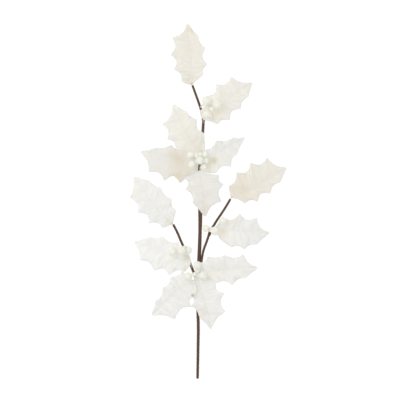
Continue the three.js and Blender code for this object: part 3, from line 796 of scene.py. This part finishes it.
# The wrinkles follow the veins, and differ on the two sides of the midrib.
wrinkle_place = vector_of(
    PRESSED_LEAF,
    X=way * WRINKLES_ALONG + leaf_size("Seed") * SEED_STEP,
    Y=share * (on_left * WRINKLES_ACROSS - WRINKLES_ACROSS / 2),
    Z=on_left * HALF_STEP,
)
wrinkles = noise(PRESSED_LEAF, wrinkle_place, 1.0, 2.0) - 0.5
wrinkled = leaf_size("Wrinkle") * wrinkles * between**WRINKLE_FADE * swell
lift = lift - leaf_size("Vein Depth") * veins + pillow + crumple + wrinkled
rib = way**VEIN_SWEEP
swing = leaf_size("Bow") * rib * (1 - rib) * 4 * (1 - share)
threads = noise(PRESSED_LEAF, seeded.outputs[0], FRAY_THREADS, 4.0) - 0.5
sideways = out + swing + threads * share**FRAY_START * FRAY
cosine = leaf_size("Heading").math("COSINE")
sine = leaf_size("Heading").math("SINE")
low_limit = leaf_size("Thickness") * LEAST_HEIGHT
stood = vector_of(
    PRESSED_LEAF,
    X=root_x + along * cosine - sideways * sine,
    Y=root_y + along * sine + sideways * cosine,
    Z=(spine_line + lift).math("MAXIMUM", low_limit),
)
# A tan tint from root to tip: partly the cloth's own dye, partly painted shade for light bounced
# between the leaves.
yellowing = leaf_size("Root Yellowing") * (1 - arched) + leaf_size("Tip Yellowing") * arched
marked = given["Geometry"]
marks = {"vein": veins, "streak": wrinkles, "yellowing": yellowing, "dust": leaf_size("Dust")}
for label, value in marks.items():
    marked = stored(PRESSED_LEAF, marked, label, value)
shaped = moved(PRESSED_LEAF, marked, stood)
stem_lines = add_node(PRESSED_LEAF, "GeometryNodeObjectInfo", {"Object": given["Stems"]})
stem_edges = add_node(
    PRESSED_LEAF, "GeometryNodeCurveToMesh", {"Curve": stem_lines.outputs["Geometry"]}
)
near = add_node(PRESSED_LEAF, "GeometryNodeProximity", target_element="EDGES")
connect(PRESSED_LEAF, near.inputs[0], stem_edges.outputs[0])
near_kept = stored(PRESSED_LEAF, shaped, "stem_distance", near.outputs["Distance"])
end_tree(PRESSED_LEAF, with_material(PRESSED_LEAF, near_kept, given["Finish"]))

# The cloth's colour in the troughs of its wrinkles and on their crests, the troughs darker as
# painted shade, each in two random tones.
SHADED_CLOTH = (0.786, 0.798, 0.782, 1), (0.85, 0.862, 0.85, 1)
LIT_CLOTH = (0.858, 0.85, 0.832, 1), (0.908, 0.899, 0.886, 1)
# Colours of the tan tint, partly dye and partly painted shade, and of painted shade: grey, in
# patches, in grooves and where a stem lies close under the cloth.
WARM_TAN = (0.775, 0.735, 0.645, 1)
SHADE_GREY = (0.5, 0.49, 0.46, 1)
PATCH_SHADE = (0.69, 0.64, 0.52, 1)
GROOVE_SHADE = (0.70, 0.64, 0.52, 1)
STEM_SHADE = (0.35, 0.27, 0.17, 1)
MOTTLE = (0.72, 0.70, 0.65, 1)

cloth, tree, shader = new_material(
    "leaf_cloth", Roughness=0.88, Specular_IOR_Level=0.25, Sheen_Weight=0.15, Sheen_Roughness=0.4,
    Subsurface_Weight=0.9, Subsurface_Radius=(1.0, 0.93, 0.82), Subsurface_Scale=0.8 * MM,
)
uv = add_node(tree, "ShaderNodeUVMap", uv_map="UVMap").outputs[0]
shade, height = fibres(tree, uv, 260.0)
threads = add_node(
    tree,
    "ShaderNodeTexWave",
    {"Vector": uv, "Scale": 90.0, "Distortion": 0.6},
    wave_type="BANDS",
    bands_direction="DIAGONAL",
)
blotches = noise(tree, uv, 5.0, 3.0)
shaded_tone = mix_colours(tree, blotches, *SHADED_CLOTH)
lit_tone = mix_colours(tree, blotches, *LIT_CLOTH)
# Painted shade along the wrinkles: darker and cooler in their troughs, lighter and warmer on their
# crests.
wrinkle_shaded = mix_colours(tree, attribute(tree, "streak") * 3 + 0.5, shaded_tone, lit_tone)
# The tan tint, in blotches: partly dye and partly painted shade.
warm_share = attribute(tree, "yellowing") * (blotches * 1.2 + 0.4)
warmed = mix_colours(tree, warm_share, wrinkle_shaded, WARM_TAN)
# Painted shade: each leaf is greyed and darkened by its own share.
grey_shaded = mix_colours(tree, attribute(tree, "dust") * 0.12, warmed, SHADE_GREY)
# Painted shade in patches under berries, in folds and where leaves overlap.
patch_share = attribute(tree, "patch_shade") * (blotches * 1.4 + 0.3)
patch_shaded = mix_colours(tree, patch_share.math("MINIMUM", 1.0), grey_shaded, PATCH_SHADE)
# Painted shade: the pressed grooves of the veins and midrib are darkened with a tan.
groove_shaded = mix_colours(tree, attribute(tree, "vein") * 0.12, patch_shaded, GROOVE_SHADE)
# Painted shade where a stem lies close under a leaf, as if it showed faintly through the cloth:
# within 5 mm of its middle, and not beyond 7.5 mm.
stem_shade_share = (attribute(tree, "stem_distance") * -400 + 3.0).math("MAXIMUM", 0.0)
stem_shaded = mix_colours(tree, stem_shade_share.math("MINIMUM", 1.0) * 0.3, groove_shaded, STEM_SHADE)
colour(tree, shader, shade * 0.12, stem_shaded, MOTTLE)
thread_height = height * 0.5 + Value(tree, threads.outputs["Fac"]) * 0.5
emboss(tree, shader, thread_height, 0.06 * MM)

stem_lines_object = lay_curves(
    "stem_lines", [(smooth_path(stem["path"], WIRE_SPACING), 1.0) for stem in STEMS.values()]
)
for seed, (name, leaf) in enumerate(LEAVES.items()):
    sheet = cut_sheet(name + "_sheet", leaf)
    blade = shape_with(
        sheet, name + "_blade", PRESSED_LEAF,
        Length=leaf["length"] * MM, Root=[metre * MM for metre in leaf["root"]],
        Heading=math.radians(leaf["heading"]), Tip_Height=leaf["tip"] * MM,
        Crest=leaf["crest"] * MM, Bow=leaf["bow"] * MM, Fold=math.radians(leaf["fold"]),
        Curl=leaf["curl"] * MM, Twist=math.radians(leaf["twist"]), Ripple=leaf["ripple"] * MM,
        Left_Spines=len(leaf["left"]), Right_Spines=len(leaf["right"]), Vein_Depth=VEIN_DEPTH,
        Vein_Width=VEIN_WIDTH, Midrib=float(leaf["midrib"]), Pillow=PILLOW, Crumple=CRUMPLE,
        Wrinkle=WRINKLE, Thickness=CLOTH_THICKNESS, Seed=float(seed),
        Root_Yellowing=float(leaf["yellowing"][0]), Tip_Yellowing=float(leaf["yellowing"][1]),
        Dust=float(leaf["dust"]), Stems=stem_lines_object, Finish=cloth,
    )
    body = blade.modifiers.new("cloth", "SOLIDIFY")
    body.thickness = CLOTH_THICKNESS
    body.offset = 0
    thick = plain_mesh(blade)
    blade.modifiers.remove(body)
    blade.data = thick
    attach(blade, "root")
    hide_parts(name)

# Leaf wires
# A thin steel wire covered with cream paper is glued along the back of each leaf. Its lower end is
# bound into the stem's tape, and it carries the leaf.

LEAF_WIRE_RADIUS = 0.6 * MM
LEAF_WIRE_SPACING = 1.5 * MM
LEAF_WIRE_SIDES = 12
# The wire lies below the middle of the leaf by half of this thickness and the gap of the glue.
BLADE_THICKNESS = 0.9
GLUE_GAP = 0.5
# Where the wire's path has its points, in twentieths of the way to the tip.
WIRE_STOPS = (0, 4, 7, 10, 13, 16)
WIRE_PARTS = 20

covered, tree, shader = new_material("covered_wire", Roughness=0.8)
shade, height = fibres(tree, object_place(tree), 2500.0)
colour(tree, shader, shade, (0.42, 0.35, 0.24, 1), (0.68, 0.62, 0.49, 1))
emboss(tree, shader, height, 0.1 * MM)


def wire_path(leaf):
    """From inside the stem's tape to the leaf's root, and on under its midrib."""
    under = -(BLADE_THICKNESS / 2 + GLUE_GAP + LEAF_WIRE_RADIUS / MM)
    x, y, z = leaf["root"]
    turned = math.radians(leaf["heading"])
    points = [leaf["bound"]]
    for stop in WIRE_STOPS:
        share = (stop / WIRE_PARTS) ** VEIN_SWEEP
        along = leaf["length"] * share
        swing = 4 * leaf["bow"] * share * (1 - share)
        steep = (leaf["tip"] - z + 4 * leaf["crest"] * (1 - 2 * share)) / leaf["length"]
        arch = 4 * leaf["crest"] * share * (1 - share)
        points.append((
            x + along * math.cos(turned) - swing * math.sin(turned),
            y + along * math.sin(turned) + swing * math.cos(turned),
            z + (leaf["tip"] - z) * share + arch + under * math.hypot(1, steep),
        ))
    return points


for name, leaf in LEAVES.items():
    line = smooth_path(wire_path(leaf), LEAF_WIRE_SPACING)
    carrier = lay_curves(name + "_carrier", [(line, LEAF_WIRE_RADIUS)])
    carrier = shape_with(
        carrier, name + "_carrier", ROUND_WIRE, Sides=LEAF_WIRE_SIDES, Finish=covered
    )
    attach(carrier, "root")
    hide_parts(name + "_wire")

# Berries
# Round foam berries dipped in matte cream paint, each on a thin tan paper-wound stalk. The stalks
# of a bunch are twisted together below a small knot and bound into the stem's tape.

# Each bunch in mm: its stalk, from inside the tape to the knot, and its berries' centres and radii.
BUNCHES = {
    "upper_right_berries": {
        "stalk": [(-16.8, 188.5, 20.6), (-15.4, 190.6, 25.4), (-7, 194, 28.4), (1, 189, 30)],
        "berries": [
            (-4.8, 200.5, 36, 9.4), (16, 192.9, 36, 9.6), (-3.8, 173.9, 35, 8.2),
            (6, 184.5, 38, 5.4),
        ],
    },
    "upper_cluster_berries": {
        "stalk": [(-17.6, 80, 16.4), (-18.2, 81, 20), (-19, 82, 25)],
        "berries": [
            (-36.6, 93.3, 37, 6.6), (-34.4, 74.5, 34, 7.4), (-18.2, 82.2, 38, 8.2),
            (-7.6, 94.3, 33, 6), (-6.4, 81.2, 30, 6.2), (-10.2, 69.4, 31, 6.2),
            (-26.2, 80.2, 29, 4.8), (-25.8, 91.4, 31, 5.6), (-17.2, 93.6, 29, 5),
        ],
    },
    "right_side_berries": {
        "stalk": [(4, -57.5, 14.4), (4.8, -57.5, 18), (7, -58.2, 21)],
        "berries": [
            (-5.8, -53.4, 27, 7.2), (12.2, -58.4, 32, 9), (27.4, -38.4, 32.5, 6.8),
            (3, -55.4, 25.5, 5),
        ],
    },
    "left_side_berries": {
        "stalk": [(-44.8, -103.4, 12), (-44.6, -101.8, 17), (-48.4, -98.8, 27)],
        "berries": [
            (-42, -97, 30, 8.2), (-54.2, -97.8, 36, 9), (-73, -99.4, 36, 8.8),
            (-49, -92.8, 30, 5.4),
        ],
    },
    "lower_cluster_berries": {
        "stalk": [(-22.6, -133, 8.2), (-23.8, -135.5, 14), (-24.6, -139, 20)],
        "berries": [
            (-23.4, -126.4, 29.5, 7.8), (-42.2, -149.6, 28, 8.4), (-11.6, -147.3, 31, 8.6),
            (-22.6, -138.2, 24.5, 4.8), (-28.4, -145.8, 23.5, 5), (-20.8, -146.6, 24, 4.2),
        ],
    },
}
# One thin stalk has lost its berry, and hooks over to the bead that held it.
BARE_STALK = [
    (-24.6, -139, 20), (-28, -147, 25), (-28.6, -155.7, 27), (-26, -164.7, 29),
    (-23.8, -173.7, 31), (-23.6, -180.7, 33), (-27, -186.8, 34), (-32.2, -186.7, 32.5),
]
BEAD_RADIUS = 3
KNOT_RADIUS = 1.8
STALK_SPACING = 0.8 * MM
STALK_SIDES = 12
THICK_STALK = 1.2 * MM
THIN_STALK = 0.8 * MM
LONG_STALK = 1.1 * MM
BERRY_ROUNDNESS = 5
BERRY_DENT = 0.5 * MM
BERRY_DENTS = 230.0
FULL_TURN = 6.28

BERRY_BUNCH, given = geometry_tree(
    "Berry bunch",
    {
        "Stalks": "Object", "Stalk Sides": "Int", "Roundness": "Int", "Dent": "Float",
        "Seed": "Int", "Berry Finish": "Material", "Bead Finish": "Material",
        "Stalk Finish": "Material",
    },
)
ball = add_node(
    BERRY_BUNCH, "GeometryNodeMeshIcoSphere", {"Radius": 1.0, "Subdivisions": given["Roundness"]}
)
tilt = add_node(
    BERRY_BUNCH,
    "FunctionNodeRandomValue",
    {"Max": (FULL_TURN, FULL_TURN, FULL_TURN), "Seed": given["Seed"]},
    data_type="FLOAT_VECTOR",
)
balls = add_node(
    BERRY_BUNCH,
    "GeometryNodeInstanceOnPoints",
    {
        "Points": given["Geometry"], "Instance": ball.outputs[0],
        "Rotation": tilt.outputs[0], "Scale": kept(BERRY_BUNCH, "radius"),
    },
)
real_balls = made_real(BERRY_BUNCH, balls.outputs[0])
dents = noise(BERRY_BUNCH, position(BERRY_BUNCH), BERRY_DENTS, 2.0) - 0.5
dented = raised(BERRY_BUNCH, real_balls, dents * given["Dent"])
coated = with_material(BERRY_BUNCH, dented, given["Berry Finish"])
is_bead = kept(BERRY_BUNCH, "bead").math("GREATER_THAN", 0.5)
coated = with_material(BERRY_BUNCH, coated, given["Bead Finish"], is_bead)
is_knot = kept(BERRY_BUNCH, "knot").math("GREATER_THAN", 0.5)
coated = with_material(BERRY_BUNCH, coated, given["Stalk Finish"], is_knot)
stalk_lines = add_node(BERRY_BUNCH, "GeometryNodeObjectInfo", {"Object": given["Stalks"]})
stalk_ring = ring_of(BERRY_BUNCH, given["Stalk Sides"])
stalk_tubes = tube_along(BERRY_BUNCH, stalk_lines.outputs["Geometry"], stalk_ring)
covered_stalks = with_material(BERRY_BUNCH, stalk_tubes, given["Stalk Finish"])
whole = BERRY_BUNCH.nodes.new("GeometryNodeJoinGeometry")
for geometry in (covered_stalks, coated):
    BERRY_BUNCH.links.new(geometry, whole.inputs[0])
end_tree(BERRY_BUNCH, whole.outputs[0])

coat, tree, shader = new_material(
    "berry_coat", Sheen_Weight=0.7, Sheen_Roughness=0.5, Subsurface_Weight=1.0,
    Subsurface_Radius=(1.0, 0.95, 0.8), Subsurface_Scale=5 * MM,
)
place = object_place(tree)
mottle = noise(tree, place, 160.0, 4.0)
colour(tree, shader, mottle, (0.83, 0.83, 0.73, 1), (0.91, 0.91, 0.84, 1))
emboss(tree, shader, noise(tree, place, 1600.0, 2.0), 0.08 * MM)
connect(tree, shader["Roughness"], mottle * 0.2 + 0.5)

stalk_paper, tree, shader = new_material("stalk_paper", Roughness=0.8)
shade, height = fibres(tree, object_place(tree), 2200.0)
colour(tree, shader, shade, (0.68, 0.61, 0.48, 1), (0.84, 0.79, 0.68, 1))
emboss(tree, shader, height, 0.1 * MM)

bead_finish, tree, shader = new_material("bead_brown")
mottle = noise(tree, object_place(tree), 700.0, 3.0)
colour(tree, shader, mottle, (0.52, 0.45, 0.32, 1), (0.70, 0.63, 0.49, 1))
connect(tree, shader["Roughness"], mottle * 0.3 + 0.45)


def ball_points(name, berries, beads, knots):
    """A point for each berry, bead and knot, with its radius and what it is."""
    balls = berries + beads + knots
    mesh = bpy.data.meshes.new(name)
    mesh.from_pydata([tuple(v * MM for v in ball[:3]) for ball in balls], [], [])
    marks = {
        "radius": [ball[3] * MM for ball in balls],
        "bead": [float(ball in beads) for ball in balls],
        "knot": [float(ball in knots) for ball in balls],
    }
    for label, values in marks.items():
        mesh.attributes.new(label, "FLOAT", "POINT").data.foreach_set("value", values)
    return put_in_scene(name, mesh)


for seed, (name, bunch) in enumerate(BUNCHES.items()):
    knot = bunch["stalk"][-1]
    lines = [(smooth_path(bunch["stalk"], STALK_SPACING), THICK_STALK)]
    for x, y, z, r in bunch["berries"]:
        # The stalk bends at a place two thirds of the way to the berry, and a little lower.
        low = ((knot[0] + 2 * x) / 3, (knot[1] + 2 * y) / 3, (knot[2] + 2 * z) / 3 - r / 3)
        lines.append((smooth_path([knot, low, (x, y, z)], STALK_SPACING), THIN_STALK))
    beads = []
    if name == "lower_cluster_berries":
        lines.append((smooth_path(BARE_STALK, STALK_SPACING), LONG_STALK))
        beads.append((*BARE_STALK[-1], BEAD_RADIUS))
    stalks = lay_curves(name + "_stalks", lines)
    knots = [(*knot, KNOT_RADIUS)]
    points = ball_points(name + "_points", bunch["berries"], beads, knots)
    whole_bunch = shape_with(
        points, name + "_on_stalks", BERRY_BUNCH, Stalks=stalks, Stalk_Sides=STALK_SIDES,
        Roundness=BERRY_ROUNDNESS, Dent=BERRY_DENT, Seed=seed, Berry_Finish=coat,
        Bead_Finish=bead_finish, Stalk_Finish=stalk_paper,
    )
    bpy.data.objects.remove(stalks)
    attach(whole_bunch, "root")
    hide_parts(name)
bpy.data.objects.remove(stem_lines_object)

# Floor, light and camera
# A plain white floor that the branch lies on, soft light from all round, a wide lamp overhead that
# casts no shadow and a soft key light from the upper left. The camera looks straight down.

FLOOR_HALF = 20.0
FLOOR_GLOW = 0.95
SKY_STRENGTH = 0.6
# Each lamp's place, width and power, and whether it casts shadows.
LAMPS = {
    "key": ((-1.5, 1.2, 2.0), 1.6, 12, True),
    "top": ((0, 0, 6), 3, 102, False),
}
PICTURE_WIDTH = 0.8
CAMERA_HEIGHT = 5.0
CAMERA_REACH = 100
SENSOR = 36.0
BRANCH_PLANE = 15 * MM
AIM = (-17.8 * MM, 3.3 * MM)

floor_mesh = bpy.data.meshes.new("floor")
corners = [(x * FLOOR_HALF, y * FLOOR_HALF, 0) for x, y in ((-1, -1), (1, -1), (1, 1), (-1, 1))]
floor_mesh.from_pydata(corners, [], [(0, 1, 2, 3)])
floor = put_in_scene("floor", floor_mesh)
floor_white, tree, shader = new_material(
    "floor_white", Base_Color=(0.1, 0.1, 0.1, 1), Roughness=1.0, Specular_IOR_Level=0.0,
    Emission_Color=(1, 1, 1, 1), Emission_Strength=FLOOR_GLOW,
)
floor_mesh.materials.append(floor_white)

world = bpy.data.worlds.new("studio")
world.use_nodes = True
sky = world.node_tree.nodes["Background"].inputs
sky["Color"].default_value = (1, 1, 1, 1)
sky["Strength"].default_value = SKY_STRENGTH
bpy.context.scene.world = world

for name, (place, width, power, casts_shadow) in LAMPS.items():
    light = bpy.data.lights.new(name, "AREA")
    light.shape = "DISK"
    light.size = width
    light.energy = power
    light.use_shadow = casts_shadow
    lamp = put_in_scene(name, light)
    lamp.location = place
    lamp.rotation_mode = "QUATERNION"
    lamp.rotation_quaternion = lamp.location.to_track_quat("Z", "Y")
    lamp.visible_camera = False

camera_data = bpy.data.cameras.new("camera")
camera_data.sensor_width = SENSOR
camera_data.lens = SENSOR * CAMERA_HEIGHT / PICTURE_WIDTH
camera_data.clip_end = CAMERA_REACH
camera = put_in_scene("camera", camera_data)
camera.location = (*AIM, CAMERA_HEIGHT + BRANCH_PLANE)
bpy.context.scene.camera = camera
bpy.context.scene.view_settings.view_transform = "Standard"
